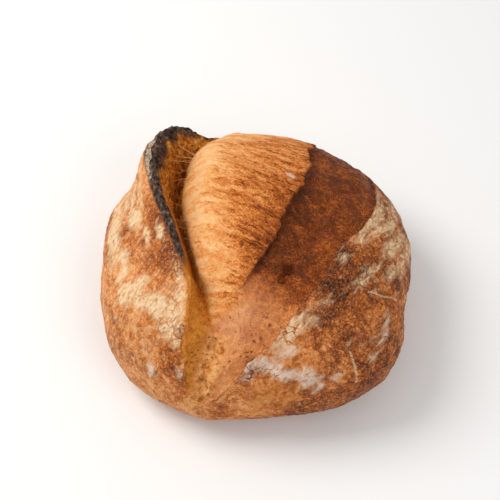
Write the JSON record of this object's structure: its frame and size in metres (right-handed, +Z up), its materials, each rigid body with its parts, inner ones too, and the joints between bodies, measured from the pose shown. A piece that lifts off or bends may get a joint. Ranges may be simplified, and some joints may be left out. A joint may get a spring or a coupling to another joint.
{
  "type": "sourdough loaf",
  "caption": "Round crusty sourdough loaf with one long slash, a curled charred ear and a bloomed opening, resting on its flat underside.",
  "frame": {"origin": "on the floor under the middle of the loaf's box, seen from above", "axes": "+Y along the slash, from its narrow front tip to its wide back end; +X to the right of the slash, away from the ear; +Z up"},
  "size_m": [0.2326, 0.2292, 0.1167],
  "materials": {
    "crust": "matte"
  },
  "bodies": {
    "root": {"loaf": "crust"}
  },
  "joints": []
}
